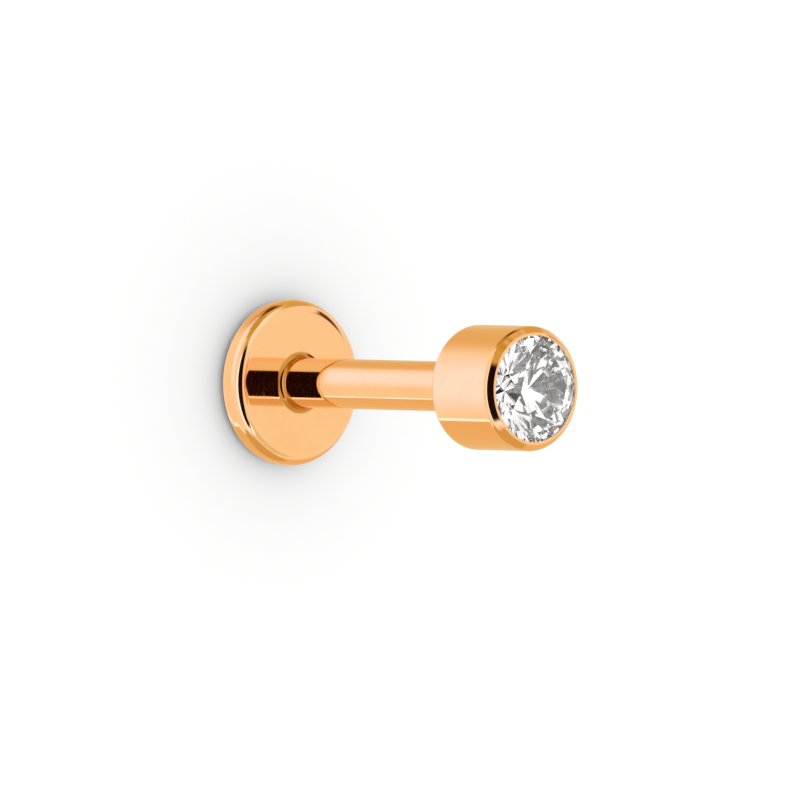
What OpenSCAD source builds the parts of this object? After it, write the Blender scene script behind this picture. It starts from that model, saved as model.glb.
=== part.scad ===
// Labret stud: a round bar on a flat disc, closed by a bezel cup that holds one round stone.
// It stands on the flat back of its disc. Z runs along the bar to the head. Sizes are in millimetres.

/* [Disc] */
// Diameter of the flat disc that lies against the skin
disc_d = 4; // [3:0.1:6]
// Thickness of the disc
disc_t = 0.75; // [0.7:0.05:1.5]
// Rounding of the disc's edge on the side of the bar
disc_front_round = 0.3; // [0.05:0.05:0.3]
// Rounding of the disc's edge on its outer back
disc_back_round = 0.3; // [0.05:0.05:0.35]

/* [Bar] */
// Diameter of the bar, 16 gauge
bar_d = 1.2; // [1:0.1:1.6]
// Clear length of the bar, a quarter of an inch
bar_len = 6.35; // [5:0.05:16]
// Radius of the soldered fillet at the foot of the bar
root_fillet = 0.16; // [0.02:0.02:0.24]
// Wall of the bar round the hole for the head's pin
bar_wall = 0.17; // [0.1:0.01:0.25]

/* [Head] */
// Outer diameter of the bezel cup
head_d = 3; // [2.6:0.1:3.6]
// Length of the straight side of the cup
head_len = 1.95; // [1.8:0.05:4]
// Rounding of the cup's edge towards the bar
head_back_round = 0.1; // [0.02:0.02:0.2]
// Width of the lip, seen from the front
lip_w = 0.22; // [0.14:0.01:0.3]
// Narrow flat on top of the lip, beside the stone
lip_land = 0.06; // [0.01:0.01:0.08]
// Rise of the sloping lip above the straight side
lip_rise = 0.16; // [0.14:0.01:0.3]
// Thickness of the lip where it meets the stone
lip_edge = 0.03; // [0.03:0.01:0.08]
// Length of the pin that holds the cup in the bar
pin_len = 1.6; // [0.8:0.1:3]

/* [Stone] */
// How far the lip reaches over the stone's edge
lip_cover = 0.05; // [0.04:0.01:0.08]
// Diameter of the table as a share of the stone's diameter
table_share = 0.56; // [0.5:0.01:0.64]
// Slope of the crown's main facets in degrees
crown_angle = 34; // [30:1:37]
// Slope of the pavilion's main facets in degrees
pavilion_angle = 41; // [38:1:43]
// Thickness of the girdle
girdle_t = 0.05; // [0.03:0.01:0.1]
// Turn of the facets about the stone's axis in degrees
stone_turn = 8; // [-22:1:22]

/* [Clearances] */
// Gap between the pin and its hole, on each side
pin_gap = 0.03; // [0.02:0.01:0.05]
// Gap between the end of the bar and the back of the cup
seat_gap = 0.02; // [0.01:0.01:0.05]
// Gap between the stone and the cup
stone_gap = 0.02; // [0.01:0.01:0.04]
// Free depth past the end of the pin and below the stone's point
relief = 0.1; // [0.05:0.05:0.3]

/* [Hidden] */
$fn = 96;

// Disc and bar
disc_r = disc_d / 2;
front_r = min(disc_front_round, 0.4 * disc_t);
back_r = min(disc_back_round, 0.5 * disc_t);
bar_r = bar_d / 2;
bar_end = disc_t + bar_len;
hole_r = bar_r - bar_wall;
hole_depth = pin_len + relief - seat_gap;

// Cup
head_r = head_d / 2;
head_z = bar_end + seat_gap;
side_end = head_z + head_len;
lip_top = side_end + lip_rise;
lip_r = head_r - lip_w;
lip_under = lip_top - lip_edge;
pin_r = hole_r - pin_gap;

// Stone: the girdle's rim lies under the lip, and the pavilion rests in a seat of the same slope
facets = 8;
half_step = 180 / facets;
stone_r = lip_r + lip_cover;
table_r = table_share * stone_r;
star_reach = 0.5;
lower_reach = 0.77;
crown_h = (stone_r - table_r) * tan(crown_angle);
star_r = table_r * cos(half_step) * (1 - star_reach) + stone_r * star_reach;
star_drop = (star_r * cos(half_step) - table_r) * tan(crown_angle);
rim_slope = (crown_h - star_drop) / (stone_r * cos(half_step) - star_r * cos(half_step));
girdle_top = lip_under - stone_gap - lip_cover * rim_slope;
girdle_low = girdle_top - girdle_t;
table_z = girdle_top + crown_h;
point_z = girdle_low - stone_r * tan(pavilion_angle);
lower_r = stone_r * (1 - lower_reach);

// Pocket of the cup
pocket_r = stone_r + stone_gap;
seat_r = 0.82 * stone_r;
seat_offset = stone_gap / cos(pavilion_angle);
pocket_floor = point_z - relief;

function seat_height(r) = point_z + r * tan(pavilion_angle) - seat_offset;

// Points of one ring of the stone: count, radius, height and turn in half steps
function ring(count, r, z, shift = 0) = [
    for (k = [0 : count - 1])
        let (a = stone_turn + k * 360 / count + shift * half_step) [r * cos(a), r * sin(a), z]
];

// Half outline of the disc and the bar, with the hole in the bar's end
module post_outline() {
    difference() {
        union() {
            square([disc_r - back_r, disc_t]);
            translate([0, back_r]) square([disc_r - front_r, disc_t - back_r]);
            translate([0, back_r]) square([disc_r, disc_t - back_r - front_r]);
            intersection() {
                translate([disc_r - back_r, back_r]) circle(r = back_r);
                translate([disc_r - back_r, 0]) square(back_r);
            }
            intersection() {
                translate([disc_r - front_r, disc_t - front_r]) circle(r = front_r);
                translate([disc_r - front_r, disc_t - front_r]) square(front_r);
            }
            square([bar_r, bar_end]);
            translate([bar_r, disc_t]) difference() {
                square(root_fillet);
                translate([root_fillet, root_fillet]) circle(r = root_fillet);
            }
        }
        translate([0, bar_end - hole_depth]) square([hole_r, hole_depth + 1]);
    }
}

// Half outline of the cup, solid, with its pin
module cup_outline() {
    r = head_back_round;
    polygon([
        [0, head_z], [head_r - r, head_z], [head_r - r, head_z + r], [head_r, head_z + r],
        [head_r, side_end], [lip_r + lip_land, lip_top], [0, lip_top]
    ]);
    intersection() {
        translate([head_r - r, head_z + r]) circle(r = r);
        translate([head_r - r, head_z]) square(r);
    }
    translate([0, head_z - pin_len]) square([pin_r, pin_len + head_back_round]);
}

// Half outline of the room for the stone: under the lip, round the girdle, down the seat to the relief
module pocket_outline() {
    polygon([
        [0, pocket_floor], [seat_r, pocket_floor], [seat_r, seat_height(seat_r)],
        [pocket_r, seat_height(pocket_r)], [pocket_r, girdle_top + stone_gap],
        [lip_r, lip_under], [lip_r, lip_top + 1], [0, lip_top + 1]
    ]);
}

module labret_post() {
    color([0.93, 0.66, 0.42]) rotate_extrude() post_outline();
}

module bezel_head() {
    color([0.95, 0.70, 0.46]) rotate_extrude() difference() {
        cup_outline();
        pocket_outline();
    }
}

// Round brilliant: table, 8 stars, 8 kites, 16 upper halves, girdle, 16 lower halves, 8 pavilion mains
module stone() {
    rim = 2 * facets;
    table_at = 0;
    star_at = table_at + facets;
    top_at = star_at + facets;
    low_at = top_at + rim;
    lower_at = low_at + rim;
    point_at = lower_at + facets;
    points = concat(
        ring(facets, table_r, table_z),
        ring(facets, star_r, table_z - star_drop, 1),
        ring(rim, stone_r, girdle_top),
        ring(rim, stone_r, girdle_low),
        ring(facets, lower_r, point_z + lower_r * cos(half_step) * tan(pavilion_angle), 1),
        [[0, 0, point_z]]
    );
    faces = concat(
        [[for (k = [facets - 1 : -1 : 0]) table_at + k]],
        [for (k = [0 : facets - 1]) let (n = (k + 1) % facets)
            [table_at + k, table_at + n, star_at + k]],
        [for (k = [0 : facets - 1]) let (p = (k + facets - 1) % facets)
            [table_at + k, star_at + k, top_at + 2 * k, star_at + p]],
        [for (k = [0 : facets - 1])
            [star_at + k, top_at + 2 * k + 1, top_at + 2 * k]],
        [for (k = [0 : facets - 1])
            [star_at + k, top_at + (2 * k + 2) % rim, top_at + 2 * k + 1]],
        [for (j = [0 : rim - 1]) let (n = (j + 1) % rim)
            [top_at + j, top_at + n, low_at + n, low_at + j]],
        [for (k = [0 : facets - 1])
            [low_at + 2 * k, low_at + 2 * k + 1, lower_at + k]],
        [for (k = [0 : facets - 1])
            [low_at + 2 * k + 1, low_at + (2 * k + 2) % rim, lower_at + k]],
        [for (k = [0 : facets - 1]) let (p = (k + facets - 1) % facets)
            [point_at, lower_at + p, low_at + 2 * k, lower_at + k]]
    );
    color([0.92, 0.94, 0.97]) polyhedron(points = points, faces = faces, convexity = 2);
}

labret_post();
bezel_head();
stone();
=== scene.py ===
import math

import bmesh
import bpy
from mathutils import Matrix, Vector


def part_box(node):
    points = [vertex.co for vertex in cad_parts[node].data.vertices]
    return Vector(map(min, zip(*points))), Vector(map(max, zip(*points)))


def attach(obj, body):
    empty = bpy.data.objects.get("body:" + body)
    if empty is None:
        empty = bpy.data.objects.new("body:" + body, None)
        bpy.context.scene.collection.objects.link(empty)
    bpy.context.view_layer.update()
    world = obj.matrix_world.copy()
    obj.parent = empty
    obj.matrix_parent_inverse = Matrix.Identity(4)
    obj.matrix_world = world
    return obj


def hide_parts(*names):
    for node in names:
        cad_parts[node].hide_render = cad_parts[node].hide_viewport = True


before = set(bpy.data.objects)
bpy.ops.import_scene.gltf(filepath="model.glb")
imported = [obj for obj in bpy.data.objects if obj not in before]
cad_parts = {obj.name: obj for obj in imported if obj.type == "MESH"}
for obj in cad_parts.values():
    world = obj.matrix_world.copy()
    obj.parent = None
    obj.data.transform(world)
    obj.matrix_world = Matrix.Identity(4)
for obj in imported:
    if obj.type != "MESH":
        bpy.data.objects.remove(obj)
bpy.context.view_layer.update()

MM = 0.001
TURN = 2 * math.pi

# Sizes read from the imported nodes
_, post_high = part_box("labret_post")
head_low, head_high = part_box("bezel_head")
stone_low, stone_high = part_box("stone")
DISC_R = post_high.x
BAR_END = post_high.z
HEAD_R = head_high.x
LIP_TOP = head_high.z
PIN_LOW = head_low.z
TABLE_Z = stone_high.z
POINT_Z = stone_low.z

# Width of the thin flat ring beside each rounding
EDGE_RING = 0.008 * MM

# Disc and bar
DISC_T = 0.75 * MM
DISC_FRONT_ROUND = 0.3 * MM
DISC_BACK_ROUND = 0.3 * MM
BAR_R = 0.6 * MM
ROOT_FILLET = 0.16 * MM
BAR_END_ROUND = 0.02 * MM
HOLE_R = 0.43 * MM
HOLE_DEPTH = 1.68 * MM
HOLE_EDGE_ROUND = 0.01 * MM

# Cup
SEAT_GAP = 0.02 * MM
HEAD_LOW = BAR_END + SEAT_GAP
HEAD_BACK_ROUND = 0.1 * MM
LIP_W = 0.22 * MM
LIP_LAND = 0.06 * MM
LIP_RISE = 0.16 * MM
LIP_EDGE = 0.03 * MM
LIP_FOOT_ROUND = 0.06 * MM
LIP_TOP_ROUND = 0.02 * MM
LIP_INNER_ROUND = 0.008 * MM
PIN_R = 0.4 * MM
PIN_END_ROUND = 0.05 * MM
SIDE_END = LIP_TOP - LIP_RISE
LIP_R = HEAD_R - LIP_W

# Stone
LIP_COVER = 0.05 * MM
STONE_R = LIP_R + LIP_COVER
STONE_GAP = 0.02 * MM
FACETS = 8
TABLE_SHARE = 0.56
LOWER_SHARE = 0.23
SEAT_SHARE = 0.82
CROWN_ANGLE = math.radians(34)
PAVILION_ANGLE = math.radians(41)
STONE_TURN = math.radians(8)
GIRDLE_T = 0.05 * MM
RELIEF = 0.1 * MM

# Camera: it looks from 41.8 degrees off the stud's own axis, which falls by 1.5 degrees on its way to the
# right
VIEW_OFF_AXIS = math.radians(41.8)
VIEW_ROLL = math.radians(-1.5)
LENS_MM = 1200.0
SENSOR_MM = 36.0
PHOTO_SIDE_PX = 800
PX_PER_MM = 41.35
# Pixel of the photo on which the centre of the disc's back lies
DISC_BACK_PX = (279.9, 382.2)


def link(obj):
    bpy.context.scene.collection.objects.link(obj)
    return obj


def view_axes():
    """Right, up and back of the camera, in the row frame."""
    back = Vector((0, -math.sin(VIEW_OFF_AXIS), math.cos(VIEW_OFF_AXIS)))
    level = Vector((0, math.cos(VIEW_OFF_AXIS), math.sin(VIEW_OFF_AXIS)))
    upright = back.cross(level)
    right = level * math.cos(VIEW_ROLL) - upright * math.sin(VIEW_ROLL)
    return right, back.cross(right), back


RIGHT, UP, BACK = view_axes()


def make_camera():
    data = bpy.data.cameras.new("camera")
    data.lens = LENS_MM
    data.sensor_width = SENSOR_MM
    camera = link(bpy.data.objects.new("camera", data))
    side = PHOTO_SIDE_PX / PX_PER_MM * MM
    distance = side / 2 / (SENSOR_MM / 2 / LENS_MM)
    half = PHOTO_SIDE_PX / 2
    across = (half - DISC_BACK_PX[0]) / PX_PER_MM * MM
    down = (half - DISC_BACK_PX[1]) / PX_PER_MM * MM
    target = RIGHT * across - UP * down
    place = Matrix((RIGHT, UP, BACK)).transposed().to_4x4()
    place.translation = target + BACK * distance
    camera.matrix_world = place
    data.clip_start = distance * 0.1
    data.clip_end = distance * 100
    bpy.context.scene.camera = camera
    return camera


make_camera()


def lathe(name, corners, steps=256):
    """Solid turned about Z from a half outline of (radius, height, rounding, segments) corners."""
    bm = bmesh.new()
    verts = [bm.verts.new((r, 0, z)) for r, z, _, _ in corners]
    for a, b in zip(verts, verts[1:]):
        bm.edges.new((a, b))
    for vert, (_, _, reach, segments) in zip(verts, corners):
        if reach:
            bmesh.ops.bevel(bm, geom=[vert], offset=reach, offset_type="OFFSET", segments=segments,
                            profile=0.5, affect="VERTICES", material=-1)
    # a ring close to each end of a straight stretch keeps the polish flat up to the rounding
    for edge in [e for e in bm.edges if e.calc_length() > 4 * EDGE_RING]:
        first, last = edge.verts
        share = EDGE_RING / edge.calc_length()
        rest, _ = bmesh.utils.edge_split(edge, first, share)
        ring = next(e for e in last.link_edges if e.calc_length() > EDGE_RING * 2 and e in (edge, rest))
        bmesh.utils.edge_split(ring, last, EDGE_RING / ring.calc_length())
    bmesh.ops.spin(bm, geom=bm.verts[:] + bm.edges[:], cent=(0, 0, 0), axis=(0, 0, 1), dvec=(0, 0, 0),
                   angle=TURN, steps=steps, use_merge=True, use_normal_flip=False, use_duplicate=False)
    bmesh.ops.remove_doubles(bm, verts=bm.verts[:], dist=1e-7)
    bmesh.ops.recalc_face_normals(bm, faces=bm.faces[:])
    for face in bm.faces:
        face.smooth = True
    mesh = bpy.data.meshes.new(name)
    bm.to_mesh(mesh)
    bm.free()
    return link(bpy.data.objects.new(name, mesh))


def make_disc_and_bar():
    corners = [
        (0, 0, 0, 0),
        (DISC_R, 0, DISC_BACK_ROUND, 24),
        (DISC_R, DISC_T, DISC_FRONT_ROUND, 28),
        (BAR_R, DISC_T, ROOT_FILLET, 16),
        (BAR_R, BAR_END, BAR_END_ROUND, 4),
        (HOLE_R, BAR_END, HOLE_EDGE_ROUND, 2),
        (HOLE_R, BAR_END - HOLE_DEPTH, 0, 0),
        (0, BAR_END - HOLE_DEPTH, 0, 0),
    ]
    return lathe("disc_and_bar", corners)


def make_bezel_cup():
    floor_z = POINT_Z - RELIEF
    seat_r = SEAT_SHARE * STONE_R
    pocket_r = STONE_R + STONE_GAP
    slope = math.tan(PAVILION_ANGLE)
    offset = STONE_GAP / math.cos(PAVILION_ANGLE)
    girdle_low = POINT_Z + STONE_R * slope
    corners = [
        (0, PIN_LOW, 0, 0),
        (PIN_R, PIN_LOW, PIN_END_ROUND, 4),
        (PIN_R, HEAD_LOW, 0, 0),
        (HEAD_R, HEAD_LOW, HEAD_BACK_ROUND, 14),
        (HEAD_R, SIDE_END, LIP_FOOT_ROUND, 12),
        (LIP_R + LIP_LAND, LIP_TOP, LIP_TOP_ROUND, 6),
        (LIP_R, LIP_TOP, LIP_INNER_ROUND, 3),
        (LIP_R, LIP_TOP - LIP_EDGE, 0, 0),
        (pocket_r, girdle_low + GIRDLE_T + STONE_GAP, 0, 0),
        (pocket_r, POINT_Z + pocket_r * slope - offset, 0, 0),
        (seat_r, POINT_Z + seat_r * slope - offset, 0, 0),
        (seat_r, floor_z, 0, 0),
        (0, floor_z, 0, 0),
    ]
    return lathe("bezel_cup", corners)


def cut_facet(bm, point, normal):
    """Grinds one flat facet: everything beyond the plane goes, and the cut is closed."""
    cut = bmesh.ops.bisect_plane(bm, geom=bm.verts[:] + bm.edges[:] + bm.faces[:], dist=1e-8,
                                 plane_co=point, plane_no=normal, clear_outer=True)
    edges = [e for e in cut["geom_cut"] if isinstance(e, bmesh.types.BMEdge)]
    bmesh.ops.edgeloop_fill(bm, edges=edges)


def make_brilliant():
    """Round brilliant ground from a round blank: table, kites, stars, upper halves, then the pavilion."""
    girdle_low = POINT_Z + STONE_R * math.tan(PAVILION_ANGLE)
    girdle_top = girdle_low + GIRDLE_T
    table_r = TABLE_SHARE * STONE_R
    half = TURN / FACETS / 2
    star_r = (table_r * math.cos(half) + STONE_R) / 2
    star_z = TABLE_Z - (star_r * math.cos(half) - table_r) * math.tan(CROWN_ANGLE)
    lower_r = LOWER_SHARE * STONE_R
    lower_z = POINT_Z + lower_r * math.cos(half) * math.tan(PAVILION_ANGLE)

    def at(radius, angle, z):
        return Vector((radius * math.cos(angle), radius * math.sin(angle), z))

    bm = bmesh.new()
    bmesh.ops.create_cone(bm, cap_ends=True, segments=96, radius1=STONE_R, radius2=STONE_R,
                          depth=TABLE_Z - POINT_Z + 2 * GIRDLE_T)
    bmesh.ops.translate(bm, verts=bm.verts[:], vec=(0, 0, (TABLE_Z + POINT_Z) / 2))

    def facet(a, b, c, up):
        normal = (b - a).cross(c - a).normalized()
        if (normal.z > 0) != up:
            normal.negate()
        cut_facet(bm, a, normal)

    cut_facet(bm, Vector((0, 0, TABLE_Z)), Vector((0, 0, 1)))
    angles = [STONE_TURN + k * TURN / FACETS for k in range(FACETS)]
    for a in angles:
        facet(at(table_r, a, TABLE_Z), at(star_r, a + half, star_z), at(star_r, a - half, star_z), True)
        facet(at(STONE_R, a, girdle_low), at(lower_r, a + half, lower_z), at(lower_r, a - half, lower_z),
              False)
    for a in angles:
        for side in (-1, 1):
            b = a + side * half
            facet(at(star_r, b, star_z), at(STONE_R, a, girdle_top), at(STONE_R, b, girdle_top), True)
            facet(at(lower_r, b, lower_z), at(STONE_R, a, girdle_low), at(STONE_R, b, girdle_low), False)
    for a in angles:
        facet(at(table_r, a, TABLE_Z), at(table_r, a + 2 * half, TABLE_Z), at(star_r, a + half, star_z),
              True)
    bmesh.ops.remove_doubles(bm, verts=bm.verts[:], dist=1e-8)
    bmesh.ops.recalc_face_normals(bm, faces=bm.faces[:])
    mesh = bpy.data.meshes.new("brilliant")
    bm.to_mesh(mesh)
    bm.free()
    return link(bpy.data.objects.new("brilliant", mesh))


post = make_disc_and_bar()
cup = make_bezel_cup()
brilliant = make_brilliant()


# Materials: colours of clean, hazy and rubbed metal, with painted shade in the crease at the bar's root,
# of the seat, with painted shade on the drilled wall below it, and of the stone

ROSE_GOLD_TONE = (1.0, 0.63, 0.34, 1)
DEEP_TONE = (0.985, 0.607, 0.312, 1)
WORN_TONE = (1.0, 0.655, 0.385, 1)
# painted shade: dark brown for the crease where the bar meets the disc
ROOT_SHADE_TONE = (0.6, 0.26, 0.03, 1)
SEAT_TONE = (0.95, 0.955, 0.96, 1)
SEAT_SHADE = (0.9, 0.905, 0.91, 1)
# painted shade: near black for the recess below the seat
RECESS_SHADE_TONE = (0.1, 0.1, 0.105, 1)
STONE_TONE = (1, 1, 1, 1)
STONE_SHADE = (0.985, 0.99, 1, 1)
STONE_IOR = 2.16

# Roughness of each clean finish
MIRROR_ROUGH = 0.03
SEAT_ROUGH = 0.1
GIRDLE_ROUGH = 0.4

# Depth of the marks in each finish
MIRROR_DEPTH = 0.0007 * MM
SEAT_DEPTH = 0.002 * MM
GIRDLE_DEPTH = 0.002 * MM


class Wiring:
    """Short calls for joining up the nodes of one tree."""

    def __init__(self, tree):
        self.tree = tree

    def node(self, kind, **values):
        made = self.tree.nodes.new(kind)
        for key, value in values.items():
            setattr(made, key, value)
        return made

    def plug(self, value, socket):
        if isinstance(value, bpy.types.NodeSocket):
            self.tree.links.new(value, socket)
        else:
            socket.default_value = value

    def calc(self, kind, a, b=0.0):
        made = self.node("ShaderNodeMath", operation=kind)
        self.plug(a, made.inputs[0])
        self.plug(b, made.inputs[1])
        return made.outputs[0]

    def times(self, first, *others):
        for other in others:
            first = self.calc("MULTIPLY", first, other)
        return first

    def plus(self, first, *others):
        for other in others:
            first = self.calc("ADD", first, other)
        return first

    def most(self, first, *others):
        for other in others:
            first = self.calc("MAXIMUM", first, other)
        return first

    def length(self, a, b):
        return self.calc("SQRT", self.plus(self.times(a, a), self.times(b, b)))

    def ramp(self, value, low, high):
        step = self.node("ShaderNodeMapRange", interpolation_type="SMOOTHSTEP")
        self.plug(value, step.inputs["Value"])
        self.plug(low, step.inputs["From Min"])
        self.plug(high, step.inputs["From Max"])
        return step.outputs["Result"]

    def paint(self, under, over, mask):
        mix = self.node("ShaderNodeMix", data_type="RGBA")
        self.plug(mask, mix.inputs["Factor"])
        self.plug(under, mix.inputs["A"])
        self.plug(over, mix.inputs["B"])
        return mix.outputs["Result"]

    def split(self, vector):
        made = self.node("ShaderNodeSeparateXYZ")
        self.plug(vector, made.inputs[0])
        return made.outputs[:3]

    def join(self, x, y, z):
        made = self.node("ShaderNodeCombineXYZ")
        for value, socket in zip((x, y, z), made.inputs):
            self.plug(value, socket)
        return made.outputs[0]

    def dot(self, vector, axis):
        made = self.node("ShaderNodeVectorMath", operation="DOT_PRODUCT")
        self.plug(vector, made.inputs[0])
        self.plug(axis, made.inputs[1])
        return made.outputs["Value"]

    def millimetres(self):
        """The piece's own coordinates, in millimetres."""
        scale = self.node("ShaderNodeVectorMath", operation="SCALE")
        self.plug(self.node("ShaderNodeTexCoord").outputs["Object"], scale.inputs[0])
        scale.inputs["Scale"].default_value = 1 / MM
        return scale.outputs[0]

    def noise(self, vector, scale, detail, **extra):
        made = self.node("ShaderNodeTexNoise", noise_dimensions="4D" if "W" in extra else "3D")
        self.plug(vector, made.inputs["Vector"])
        self.plug(scale, made.inputs["Scale"])
        self.plug(detail, made.inputs["Detail"])
        for name, value in extra.items():
            self.plug(value, made.inputs[name])
        return made.outputs[0]

    def place(self, group, **values):
        made = self.node("ShaderNodeGroup", node_tree=group)
        for name, value in values.items():
            self.plug(value, made.inputs[name.replace("_", " ")])
        return made.outputs

    def bump(self, height, depth):
        made = self.node("ShaderNodeBump")
        made.inputs["Distance"].default_value = depth
        self.plug(height, made.inputs["Height"])
        return made.outputs["Normal"]


def new_group(name, inputs, outputs):
    group = bpy.data.node_groups.new(name, "ShaderNodeTree")
    for label, kind in inputs:
        group.interface.new_socket(label, in_out="INPUT", socket_type=kind)
    for label in outputs:
        group.interface.new_socket(label, in_out="OUTPUT", socket_type="NodeSocketFloat")
    given = group.nodes.new("NodeGroupInput").outputs
    result = group.nodes.new("NodeGroupOutput").inputs
    return Wiring(group), given, result


def make_polish_marks():
    """Traces of buffing on a mirror finish, each from 0 to 1. Coordinates are millimetres."""
    nodes, given, result = new_group(
        "polish_marks",
        [("Coordinates", "NodeSocketVector"), ("Lines", "NodeSocketFloat"),
         ("Patches", "NodeSocketFloat")],
        ["Hairlines", "Haze", "Ripple"])
    coords, lines = given["Coordinates"], given["Lines"]
    x, y, z = nodes.split(coords)
    radius = nodes.length(x, y)
    # marks that run round the axis, as a buffing wheel leaves them on a turned piece
    across, along = nodes.calc("DIVIDE", x, radius), nodes.calc("DIVIDE", y, radius)
    around = nodes.join(nodes.times(radius, lines), nodes.times(z, lines), across)
    turned = nodes.noise(around, 1.0, 2.0, W=along)
    # short straight scratches from handling, lying across the others
    lean = nodes.node("ShaderNodeMapping")
    nodes.plug(coords, lean.inputs["Vector"])
    lean.inputs["Rotation"].default_value = (0.6, 1.1, 0.4)
    lean.inputs["Scale"].default_value = (1, 1, 0.04)
    crossing = nodes.noise(lean.outputs[0], lines, 1.0)
    hairlines = nodes.most(nodes.ramp(turned, 0.6, 0.72), nodes.ramp(crossing, 0.66, 0.74))
    haze = nodes.noise(coords, given["Patches"], 4.0, Roughness=0.6, Distortion=0.8)
    nodes.plug(hairlines, result["Hairlines"])
    nodes.plug(nodes.ramp(haze, 0.36, 0.72), result["Haze"])
    nodes.plug(nodes.noise(coords, nodes.times(given["Patches"], 2.2), 1.5), result["Ripple"])
    return nodes.tree


def make_edge_wear():
    """Rubbed ring along a turned edge: 1 on the edge, 0 beyond the reach. Lengths are millimetres."""
    nodes, given, result = new_group(
        "edge_wear",
        [("Coordinates", "NodeSocketVector"), ("Edge Radius", "NodeSocketFloat"),
         ("Edge Height", "NodeSocketFloat"), ("Reach", "NodeSocketFloat")],
        ["Wear"])
    x, y, z = nodes.split(given["Coordinates"])
    out = nodes.calc("SUBTRACT", nodes.length(x, y), given["Edge Radius"])
    off = nodes.calc("SUBTRACT", z, given["Edge Height"])
    near = nodes.ramp(nodes.calc("DIVIDE", nodes.length(out, off), given["Reach"]), 1.0, 0.3)
    broken = nodes.ramp(nodes.noise(given["Coordinates"], 3.0, 5.0, Roughness=0.65), 0.36, 0.6)
    nodes.plug(nodes.times(near, broken), result["Wear"])
    return nodes.tree


POLISH_MARKS = make_polish_marks()
EDGE_WEAR = make_edge_wear()


def material(name):
    mat = bpy.data.materials.new(name)
    mat.use_nodes = True
    mat.node_tree.nodes.clear()
    nodes = Wiring(mat.node_tree)
    shader = nodes.node("ShaderNodeBsdfPrincipled")
    nodes.plug(shader.outputs[0], nodes.node("ShaderNodeOutputMaterial").inputs["Surface"])
    return mat, nodes, shader


def make_rose_gold():
    """Mirror-polished plate with faint buffing marks, a little haze, rubbed edges and painted shade in
    the crease at the bar's root.
    """
    mat, nodes, shader = material("rose_gold")
    coords = nodes.millimetres()
    marks = nodes.place(POLISH_MARKS, Coordinates=coords, Lines=16.0, Patches=0.9)
    # rubbed edges: radius, height and reach in millimetres
    edges = (
        (DISC_R, 0.0, 0.4),
        (DISC_R, DISC_T, 0.4),
        (HEAD_R, HEAD_LOW, 0.2),
        (HEAD_R, SIDE_END, 0.14),
        (LIP_R + LIP_LAND / 2, LIP_TOP, 0.1),
    )
    worn = nodes.most(*(
        nodes.place(EDGE_WEAR, Coordinates=coords, Edge_Radius=radius / MM, Edge_Height=height / MM,
                    Reach=reach)["Wear"]
        for radius, height, reach in edges))
    x, y, z = nodes.split(coords)
    bar_r, disc_t, reach = BAR_R / MM, DISC_T / MM, ROOT_FILLET / MM
    # painted shade: the root fillet, where the bar meets the disc, is painted dark brown
    root_shade = nodes.times(nodes.ramp(nodes.length(x, y), bar_r + 1.1 * reach, bar_r + 0.7 * reach),
                           nodes.ramp(z, disc_t - reach, disc_t - 0.5 * reach),
                           nodes.ramp(z, disc_t + 1.1 * reach, disc_t + 0.7 * reach))
    tone = nodes.paint(ROSE_GOLD_TONE, DEEP_TONE, marks["Haze"])
    tone = nodes.paint(tone, ROOT_SHADE_TONE, nodes.times(root_shade, 0.9))
    nodes.plug(nodes.paint(tone, WORN_TONE, nodes.times(worn, 0.7)), shader.inputs["Base Color"])
    shader.inputs["Metallic"].default_value = 1
    rough = nodes.plus(MIRROR_ROUGH, nodes.times(marks["Haze"], 0.035),
                       nodes.times(marks["Hairlines"], 0.07), nodes.times(worn, 0.03))
    nodes.plug(rough, shader.inputs["Roughness"])
    height = nodes.plus(marks["Ripple"], nodes.times(marks["Hairlines"], -0.12))
    nodes.plug(nodes.bump(height, MIRROR_DEPTH), shader.inputs["Normal"])
    return mat


def make_bright_seat():
    """Bare bright metal under the stone with marks from the cutter; the drilled wall below is rougher and
    painted near black as shade.
    """
    mat, nodes, shader = material("bright_seat")
    coords = nodes.millimetres()
    marks = nodes.place(POLISH_MARKS, Coordinates=coords, Lines=9.0, Patches=2.0)
    x, y, z = nodes.split(coords)
    wall_r = SEAT_SHARE * STONE_R / MM
    wall_end = POINT_Z / MM + wall_r * math.tan(PAVILION_ANGLE) - 2 * STONE_GAP / MM
    # painted shade: the drilled wall below the seat is painted near black, and made rougher
    recess_shade = nodes.times(nodes.ramp(nodes.length(x, y), wall_r - 0.03, wall_r - 0.01),
                        nodes.ramp(z, wall_end + 0.02, wall_end - 0.02))
    tone = nodes.paint(SEAT_TONE, SEAT_SHADE, marks["Haze"])
    nodes.plug(nodes.paint(tone, RECESS_SHADE_TONE, recess_shade), shader.inputs["Base Color"])
    shader.inputs["Metallic"].default_value = 1
    rough = nodes.plus(SEAT_ROUGH, nodes.times(marks["Haze"], 0.03),
                       nodes.times(marks["Hairlines"], 0.1), nodes.times(recess_shade, 0.2))
    nodes.plug(rough, shader.inputs["Roughness"])
    nodes.plug(nodes.bump(marks["Hairlines"], SEAT_DEPTH), shader.inputs["Normal"])
    return mat


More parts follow.
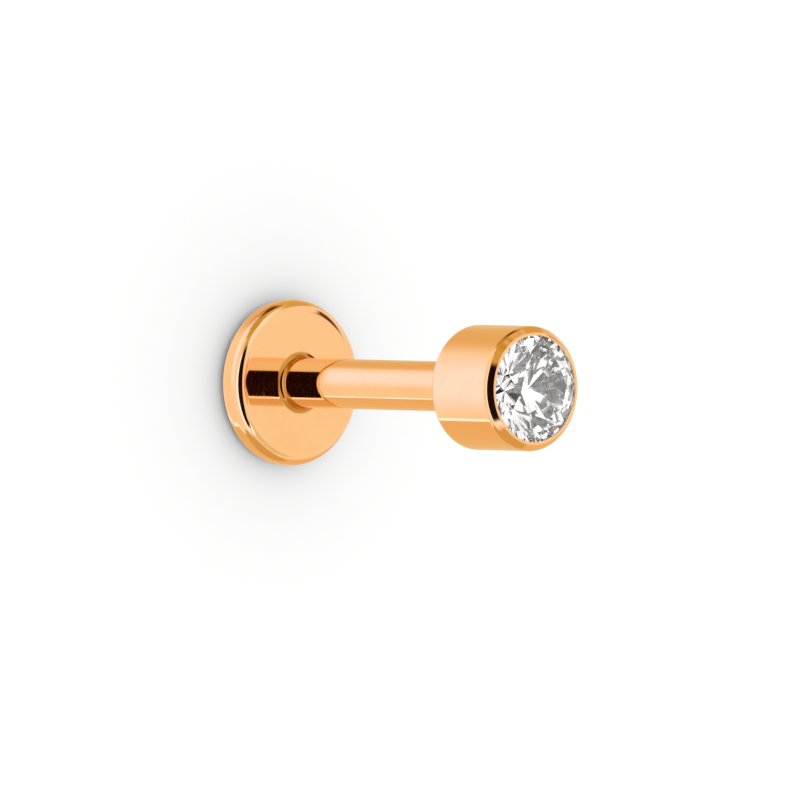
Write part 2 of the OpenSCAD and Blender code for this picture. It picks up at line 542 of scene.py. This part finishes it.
def make_clear_stone():
    """Clear cut stone: polished facets with the faintest marks, and a ground girdle."""
    mat, nodes, shader = material("clear_stone")
    coords = nodes.millimetres()
    marks = nodes.place(POLISH_MARKS, Coordinates=coords, Lines=12.0, Patches=1.5)
    girdle_low = (POINT_Z + STONE_R * math.tan(PAVILION_ANGLE)) / MM
    girdle_top = girdle_low + GIRDLE_T / MM
    fade = GIRDLE_T / MM / 10
    z = nodes.split(coords)[2]
    ground = nodes.times(nodes.ramp(z, girdle_low - fade, girdle_low + fade),
                         nodes.ramp(z, girdle_top + fade, girdle_top - fade))
    nodes.plug(nodes.paint(STONE_TONE, STONE_SHADE, marks["Haze"]), shader.inputs["Base Color"])
    rough = nodes.plus(nodes.times(marks["Hairlines"], 0.003), nodes.times(ground, GIRDLE_ROUGH))
    nodes.plug(rough, shader.inputs["Roughness"])
    grain = nodes.times(ground, nodes.noise(coords, 60.0, 3.0))
    nodes.plug(nodes.bump(grain, GIRDLE_DEPTH), shader.inputs["Normal"])
    shader.inputs["IOR"].default_value = STONE_IOR
    shader.inputs["Transmission Weight"].default_value = 1
    return mat


def line_pocket(piece, lining):
    """Gives the cup's inner faces, which lie under and round the stone, the second material."""
    piece.data.materials.append(lining)
    wall = STONE_R + 2 * STONE_GAP
    for face in piece.data.polygons:
        x, y, z = face.center
        if math.hypot(x, y) < wall and POINT_Z - 2 * RELIEF < z < LIP_TOP - LIP_EDGE:
            face.material_index = 1


ROSE_GOLD = make_rose_gold()
post.data.materials.append(ROSE_GOLD)
cup.data.materials.append(ROSE_GOLD)
line_pocket(cup, make_bright_seat())
brilliant.data.materials.append(make_clear_stone())

for piece, node, name in (
    (post, "labret_post", "rose_gold"),
    (cup, "bezel_head", "rose_gold"),
    (brilliant, "stone", "clear_stone"),
):
    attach(piece, "root")
    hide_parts(node)


# Floor and light

# Light of the studio's parts, as seen in the polish
WARM_TENT = (0.99, 0.885, 0.735, 1)
LIGHT_SHEET = (1.12, 1.14, 1.5, 1)
BOX_EDGE = (1.3, 1.42, 1.9, 1)
WHITE_EDGE = (1.4, 1.75, 2.6, 1)
GOLD_ABOVE = (0.82, 0.58, 0.27, 1)
GOLD_BEHIND = (0.84, 0.64, 0.36, 1)
GOLD_BELOW = (0.87, 0.62, 0.31, 1)
DARK_GOLD = (0.61, 0.39, 0.065, 1)
MID_GOLD = (0.7, 0.49, 0.15, 1)
PALE_GOLD = (0.78, 0.57, 0.26, 1)
BROWN_GOLD = (0.4, 0.21, 0.01, 1)
GROUND = (0.69, 0.47, 0.17, 1)
BRIGHT_CARD = (1.3, 1.4, 1.8, 1)
GOLD_PATCH = (0.7, 0.47, 0.14, 1)
COOL_WHITE = (0.92, 1.07, 1.12, 1)
STREAK = (1.0, 1.16, 1.18, 1)
GOLD_CORNER = (0.8, 0.73, 0.47, 1)
BROWN = (0.26, 0.11, 0.005, 1)
DEEP_BROWN = (0.05, 0.008, 0.001, 1)
STREAK_BROWN = (0.15, 0.05, 0.003, 1)
NEAR_BLACK = (0.012, 0.003, 0.005, 1)
# Light that the floor gets
PLAIN_WHITE = (1.08, 1.08, 1.08, 1)
# The stone sees the same light with its colour taken out, a little brighter and under a thin white veil
STONE_SATURATION = 0.06
STONE_BRIGHTNESS = 1.2
STONE_VEIL = 0.04

FLOOR_SIZE = 2.0
FLOOR_TONE = (0.93, 0.93, 0.93, 1)
FLOOR_ROUGH = 0.8
SHEET_R = 14 * MM
SHEET_Z = -0.01 * MM
SOFTBOX_SIZE = 0.3
SOFTBOX_DISTANCE = 0.3
SOFTBOX_WATTS = 0.06


def make_floor():
    bm = bmesh.new()
    bmesh.ops.create_grid(bm, x_segments=1, y_segments=1, size=FLOOR_SIZE)
    mesh = bpy.data.meshes.new("floor")
    bm.to_mesh(mesh)
    bm.free()
    floor = link(bpy.data.objects.new("floor", mesh))
    mat, nodes, shader = material("pale_floor")
    shader.inputs["Base Color"].default_value = FLOOR_TONE
    shader.inputs["Roughness"].default_value = FLOOR_ROUGH
    floor.data.materials.append(mat)
    floor.visible_glossy = False
    floor.visible_transmission = False


def make_light_sheet():
    """Bright sheet lying in front of the stud. Only the sides of the bar and the cup reflect it."""
    bm = bmesh.new()
    bmesh.ops.create_circle(bm, cap_ends=True, segments=48, radius=SHEET_R)
    bmesh.ops.translate(bm, verts=bm.verts[:], vec=(0, 0, SHEET_Z))
    mesh = bpy.data.meshes.new("light_sheet")
    bm.to_mesh(mesh)
    bm.free()
    sheet = link(bpy.data.objects.new("light_sheet", mesh))
    mat = bpy.data.materials.new("light_sheet")
    mat.use_nodes = True
    mat.node_tree.nodes.clear()
    nodes = Wiring(mat.node_tree)
    x, y, _ = nodes.split(nodes.millimetres())
    radius = nodes.length(x, y)
    bearing = nodes.calc("DEGREES", nodes.calc("ARCTAN2", nodes.times(x, -1.0), nodes.times(y, -1.0)))

    def fan(centre, inner, outer):
        """Soft fan of the sheet: bearing of its middle, and half widths in degrees."""
        off = nodes.calc("ABSOLUTE", nodes.calc("SUBTRACT", bearing, centre))
        return nodes.ramp(off, outer, inner)

    # the bar reflects the near part and the cup the far part, by radius in millimetres
    near = nodes.times(fan(30, 8, 52), nodes.ramp(radius, 2.5, 2.75), nodes.ramp(radius, 7.5, 7.1))
    far = nodes.times(fan(5, 14, 66), nodes.ramp(radius, 7.1, 7.5))
    glow = nodes.node("ShaderNodeEmission")
    glow.inputs["Color"].default_value = LIGHT_SHEET
    blend = nodes.node("ShaderNodeMixShader")
    nodes.plug(nodes.most(near, far), blend.inputs["Fac"])
    nodes.plug(nodes.node("ShaderNodeBsdfTransparent").outputs[0], blend.inputs[1])
    nodes.plug(glow.outputs[0], blend.inputs[2])
    nodes.plug(blend.outputs[0], nodes.node("ShaderNodeOutputMaterial").inputs["Surface"])
    sheet.data.materials.append(mat)
    sheet.visible_camera = False
    sheet.visible_diffuse = False
    sheet.visible_transmission = False
    sheet.visible_shadow = False


def make_studio():
    """Surroundings that only the polish and the stone show, painted one over the other.

    Turn and lift are degrees to the right of and above the way to the lens.
    """
    world = bpy.data.worlds.new("studio")
    bpy.context.scene.world = world
    world.use_nodes = True
    world.node_tree.nodes.clear()
    nodes = Wiring(world.node_tree)
    ray = nodes.node("ShaderNodeTexCoord").outputs["Generated"]
    right, up, front = nodes.dot(ray, RIGHT), nodes.dot(ray, UP), nodes.dot(ray, BACK)
    turn = nodes.calc("DEGREES", nodes.calc("ARCTAN2", right, front))
    lift = nodes.calc("DEGREES", nodes.calc("ARCSINE", up))

    def oval(at_turn, at_lift, half_turn, half_lift, edge, slant=0.0):
        """Soft-edged oval, 1 inside. Slant leans it by degrees."""
        a = nodes.calc("SUBTRACT", turn, at_turn)
        b = nodes.calc("SUBTRACT", lift, at_lift)
        c, s = math.cos(math.radians(slant)), math.sin(math.radians(slant))
        wide = nodes.calc("DIVIDE", nodes.plus(nodes.times(a, c), nodes.times(b, s)), half_turn)
        rise = nodes.calc("SUBTRACT", nodes.times(b, c), nodes.times(a, s))
        high = nodes.calc("DIVIDE", rise, half_lift)
        return nodes.ramp(nodes.length(wide, high), 1 + edge, 1 - edge)

    def spot(at_turn, at_lift, outer, inner):
        """Round soft spot, of outer and inner radius in degrees."""
        a, b = math.radians(at_turn), math.radians(at_lift)
        towards = (RIGHT * math.sin(a) + BACK * math.cos(a)) * math.cos(b) + UP * math.sin(b)
        edges = (math.cos(math.radians(reach)) for reach in (outer, inner))
        return nodes.ramp(nodes.dot(ray, towards), *edges)

    behind_above = nodes.calc("SUBTRACT", nodes.times(up, 0.8), nodes.times(front, 0.6))
    behind_below = nodes.calc("SUBTRACT", nodes.times(up, -0.8), nodes.times(front, 0.6))
    light = WARM_TENT
    for colour, mask in (
        (GOLD_ABOVE, nodes.ramp(behind_above, 0.69, 0.92)),
        (BOX_EDGE, nodes.times(nodes.ramp(behind_below, 0.645, 0.66), nodes.ramp(right, -0.5, -0.6))),
        (GOLD_BELOW, nodes.ramp(behind_below, 0.695, 0.703)),
        (GOLD_BEHIND, nodes.ramp(front, -0.84, -0.96)),
        (MID_GOLD, oval(130, 50, 50, 12, 0.25)),
        (BROWN_GOLD, oval(-150, 61, 48, 12, 0.2)),
        (DARK_GOLD, oval(0, 58, 36, 9, 0.3)),
        (DARK_GOLD, nodes.ramp(lift, 60, 67)),
        (GROUND, nodes.ramp(lift, -56, -62)),
        (PALE_GOLD, spot(75, 72, 11, 5)),
        (BROWN, spot(172, 79, 17, 8)),
        (DEEP_BROWN, spot(168, 76, 10, 3)),
        (BRIGHT_CARD, oval(-6, -14, 24, 44, 0.3)),
        (GOLD_PATCH, oval(2, 41, 20, 14, 0.35)),
        (COOL_WHITE, oval(37, 36, 23, 14, 0.35)),
        (NEAR_BLACK, oval(6.5, -6, 20, 41.5, 0.07)),
        (GOLD_CORNER, oval(54, -38, 32, 15, 0.15)),
        (NEAR_BLACK, oval(20.5, -36.9, 6.8, 5, 0.12, -21)),
        (WHITE_EDGE, oval(31.2, -40.6, 4.2, 8, 0.3, -15)),
        (STREAK, oval(55, 52, 32, 6, 0.5, 15)),
        (STREAK_BROWN, oval(102, 16.5, 17, 5.5, 0.3, 39)),
    ):
        light = nodes.paint(light, colour, mask)

    path = nodes.node("ShaderNodeLightPath").outputs
    neutral = nodes.node("ShaderNodeHueSaturation")
    neutral.inputs["Saturation"].default_value = STONE_SATURATION
    neutral.inputs["Value"].default_value = STONE_BRIGHTNESS
    in_stone = nodes.most(path["Is Transmission Ray"], path["Is Singular Ray"])
    nodes.plug(in_stone, neutral.inputs["Fac"])
    nodes.plug(light, neutral.inputs["Color"])
    veil = nodes.times(in_stone, STONE_VEIL)
    through = nodes.paint(neutral.outputs["Color"], PLAIN_WHITE, veil)
    seen = nodes.most(path["Is Transmission Ray"], path["Is Glossy Ray"])
    background = nodes.node("ShaderNodeBackground")
    nodes.plug(nodes.paint(PLAIN_WHITE, through, seen), background.inputs["Color"])
    nodes.plug(background.outputs[0], nodes.node("ShaderNodeOutputWorld").inputs["Surface"])


def make_top_softbox():
    """Large soft lamp overhead. It gives the floor its faint shadow, and the polish doesn't show it."""
    data = bpy.data.lights.new("top_softbox", "AREA")
    data.shape = "DISK"
    data.size = SOFTBOX_SIZE
    data.energy = SOFTBOX_WATTS
    lamp = link(bpy.data.objects.new("top_softbox", data))
    direction = Vector((0.2, 0.1, 1)).normalized()
    lamp.location = direction * SOFTBOX_DISTANCE
    lamp.rotation_mode = "QUATERNION"
    lamp.rotation_quaternion = direction.to_track_quat("Z", "Y")
    lamp.visible_glossy = False
    lamp.visible_transmission = False
    lamp.visible_camera = False


make_floor()
make_light_sheet()
make_studio()
make_top_softbox()

scene = bpy.context.scene
scene.view_settings.view_transform = "Standard"
scene.cycles.use_denoising = True
scene.cycles.max_bounces = 32
scene.cycles.glossy_bounces = 24
scene.cycles.transmission_bounces = 24
scene.cycles.caustics_reflective = False
scene.cycles.caustics_refractive = False
